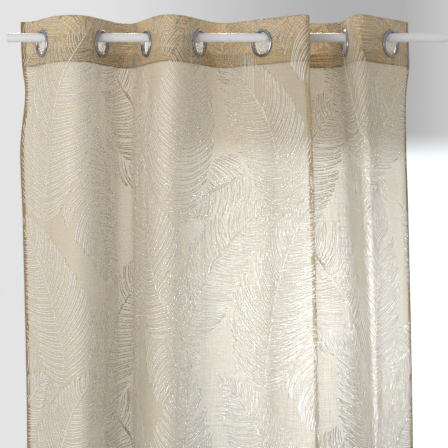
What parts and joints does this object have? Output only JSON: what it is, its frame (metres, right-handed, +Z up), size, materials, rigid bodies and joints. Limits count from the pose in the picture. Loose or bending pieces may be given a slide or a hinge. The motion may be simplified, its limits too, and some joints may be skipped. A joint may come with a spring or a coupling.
{
  "type": "sheer eyelet curtain on rod",
  "caption": "Sheer leaf-weave curtain hanging in deep uneven folds from metal eyelets threaded on a plain round rod.",
  "frame": {"origin": "middle of the rod, on its axis, where the brackets hold it level", "axes": "+X along the rod to the right as seen from the room, -Y towards the room, +Z up"},
  "size_m": [0.9, 0.1627, 2.4],
  "materials": {
    "rod": "satin white enamel",
    "heading": "doubled beige polyester voile, stitched",
    "sheer": "sheer beige polyester with raised ivory leaf weave",
    "eyelet": "brushed nickel"
  },
  "bodies": {
    "root": {"rod": "rod", "heading": "heading", "panel": "sheer", "eyelet_1": "eyelet", "eyelet_2": "eyelet", "eyelet_3": "eyelet", "eyelet_4": "eyelet", "eyelet_5": "eyelet", "eyelet_6": "eyelet", "eyelet_7": "eyelet", "eyelet_8": "eyelet"}
  },
  "joints": []
}
